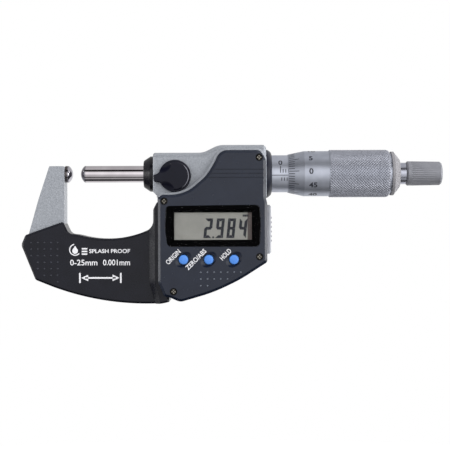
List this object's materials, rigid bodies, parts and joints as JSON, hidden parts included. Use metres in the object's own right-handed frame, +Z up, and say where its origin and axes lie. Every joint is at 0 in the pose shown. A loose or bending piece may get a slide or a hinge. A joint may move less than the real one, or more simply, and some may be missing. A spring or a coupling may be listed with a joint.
{
  "type": "digital outside micrometer",
  "caption": "Digital outside micrometer with ball-ended faces, friction thimble, clamp lever, display housing and moulded grips.",
  "frame": {"origin": "contact point of the fixed anvil, on the measuring axis", "axes": "+X along the measuring axis from the anvil to the thimble, +Z up from the grip towards the spindle, -Y out of the display side"},
  "size_m": [0.1594, 0.0241, 0.0598],
  "materials": {
    "cast_frame": "fine hammered silver-grey paint",
    "carbide": "lapped",
    "ground_steel": "ground and lapped",
    "satin_steel": "satin chrome",
    "hardened_steel": "plain",
    "grip_plastic": "fine texture",
    "housing_plastic": "fine satin",
    "black_screw": "black oxide",
    "seal_rubber": "matte",
    "lens": "gloss",
    "black_print": "matte",
    "lcd": "semi-gloss",
    "board": "solder mask",
    "chip": "matte",
    "contact_metal": "bright",
    "blue_key": "satin",
    "cell_metal": "bright nickel",
    "white_plastic": "matte",
    "port_plastic": "matte",
    "clamp_plastic": "satin",
    "black_nylon": "semi-matte",
    "bush_bronze": "reamed",
    "encoder_board": "matte",
    "knob_plastic": "matte",
    "spring_steel": "bright"
  },
  "bodies": {
    "frame": {"frame_casting": "cast_frame", "anvil": "ground_steel", "anvil_tip": "carbide", "front_grip_cover": "grip_plastic", "rear_grip_cover": "grip_plastic", "front_housing": "housing_plastic", "rear_housing": "housing_plastic", "front_cover_screws": "black_screw", "rear_cover_screws": "black_screw", "front_gasket": "seal_rubber", "rear_gasket": "seal_rubber", "display_window": "lens", "display_mask": "black_print", "lcd_panel": "lcd", "lcd_connectors": "seal_rubber", "circuit_board": "board", "board_components": "chip", "keypad_rubber": "seal_rubber", "key_contacts": "contact_metal", "battery_cell": "cell_metal", "battery_holder": "white_plastic", "battery_contact_minus": "contact_metal", "battery_contact_plus": "contact_metal", "port_cover": "port_plastic", "port_cover_screws": "black_screw", "data_port": "chip", "port_pins": "contact_metal", "spindle_bush": "bush_bronze", "spindle_seal_cap": "black_nylon", "wiper_seal": "seal_rubber", "clamp_shoe": "bush_bronze", "clamp_seal": "seal_rubber", "encoder_stator": "encoder_board", "encoder_flex": "contact_metal", "rotor_bearing": "bush_bronze", "inner_sleeve": "hardened_steel", "outer_sleeve": "satin_steel", "sleeve_collar": "black_nylon", "adjusting_nut": "hardened_steel"},
    "encoder_rotor": {"encoder_rotor": "encoder_board", "rotor_key": "hardened_steel"},
    "spindle": {"spindle": "ground_steel", "spindle_tip": "carbide", "thimble": "satin_steel", "thimble_end_cap": "satin_steel", "ratchet_stem": "ground_steel", "ratchet_wheel": "hardened_steel"},
    "ratchet": {"ratchet_knob": "knob_plastic", "ratchet_pawl": "hardened_steel", "ratchet_springs": "spring_steel"},
    "clamp": {"clamp_knob": "clamp_plastic", "clamp_stem": "hardened_steel"},
    "button_left": {"button_left": "blue_key"},
    "button_middle": {"button_middle": "blue_key"},
    "button_right": {"button_right": "blue_key"},
    "battery_cap_seal": {"battery_cap_seal": "seal_rubber"},
    "battery_cap": {"battery_cap": "housing_plastic"}
  },
  "joints": [
    {"name": "thimble_turn", "type": "hinge", "parent": "frame", "child": "encoder_rotor", "pos_m": [0.06, 0, 0], "axis": [1, 0, 0], "range_deg": [-2150, 15853]},
    {"name": "spindle_travel", "type": "slide", "parent": "encoder_rotor", "child": "spindle", "axis": [1, 0, 0], "range_m": [-0.00298, 0.02202]},
    {"name": "ratchet_slip", "type": "hinge", "parent": "spindle", "child": "ratchet", "pos_m": [0.134, 0, 0], "axis": [1, 0, 0], "continuous": true},
    {"name": "clamp_turn", "type": "hinge", "parent": "frame", "child": "clamp", "pos_m": [0.0392, -0.0092, -0.0011], "axis": [0, 1, 0], "range_deg": [0, 50]},
    {"name": "press_left", "type": "slide", "parent": "frame", "child": "button_left", "axis": [0, 1, 0], "range_m": [0, 0.0006], "stiffness_N_per_m": 600, "springref_m": -0.0003},
    {"name": "press_middle", "type": "slide", "parent": "frame", "child": "button_middle", "axis": [0, 1, 0], "range_m": [0, 0.0006], "stiffness_N_per_m": 600, "springref_m": -0.0003},
    {"name": "press_right", "type": "slide", "parent": "frame", "child": "button_right", "axis": [0, 1, 0], "range_m": [0, 0.0006], "stiffness_N_per_m": 600, "springref_m": -0.0003},
    {"name": "battery_cap_lift", "type": "slide", "parent": "frame", "child": "battery_cap_seal", "axis": [0, 1, 0], "range_m": [0, 0.0025]},
    {"name": "battery_cap_turn", "type": "hinge", "parent": "battery_cap_seal", "child": "battery_cap", "pos_m": [0.059, 0.0102, -0.024], "axis": [0, 1, 0], "range_deg": [0, 902]}
  ],
  "couplings": [
    {"joint": "thimble_turn", "follows": "spindle_travel", "rad_per_m": 12566},
    {"joint": "battery_cap_turn", "follows": "battery_cap_lift", "rad_per_m": 6283.2}
  ]
}
